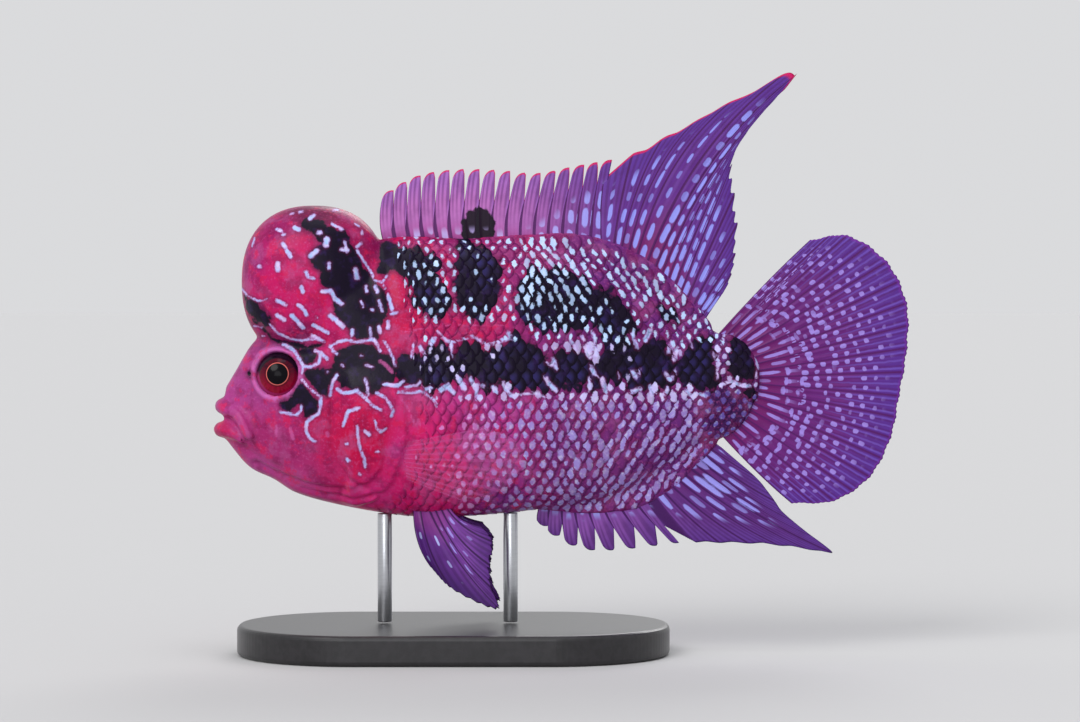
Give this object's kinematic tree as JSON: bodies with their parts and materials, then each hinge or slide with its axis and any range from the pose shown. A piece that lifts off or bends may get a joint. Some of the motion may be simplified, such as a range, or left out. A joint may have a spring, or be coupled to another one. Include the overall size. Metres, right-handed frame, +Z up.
{
  "type": "flowerhorn cichlid",
  "caption": "Life-size flowerhorn cichlid with a rounded forehead hump and trailing fins, swimming level, on a low stand with two rods.",
  "frame": {"origin": "on the floor, under the middle of the model's box", "axes": "+X from the head to the tail, +Z up, -Y out of the fish's left side"},
  "size_m": [0.1159, 0.042, 0.0967],
  "materials": {
    "skin": "moist scaled skin, red and violet with black and pale pearl marks",
    "fin": "thin violet fin skin over darker rays",
    "clear_fin": "nearly clear fin skin over fine rays",
    "eye": "wet and very glossy",
    "stand_base": "satin black",
    "stand_rod": "brushed"
  },
  "bodies": {
    "root": {"head": "skin", "nuchal_hump": "skin", "upper_jaw": "skin", "lower_jaw": "skin", "trunk": "skin", "tail_base": "skin", "gill_cover_left": "skin", "gill_cover_right": "skin", "dorsal_fin": "fin", "anal_fin": "fin", "caudal_fin": "fin", "pelvic_fin_left": "fin", "pelvic_fin_right": "fin", "pectoral_fin_left": "clear_fin", "pectoral_fin_right": "clear_fin", "eye_left": "eye", "eye_right": "eye", "stand_base": "stand_base", "stand_rod_front": "stand_rod", "stand_rod_rear": "stand_rod"}
  },
  "joints": []
}
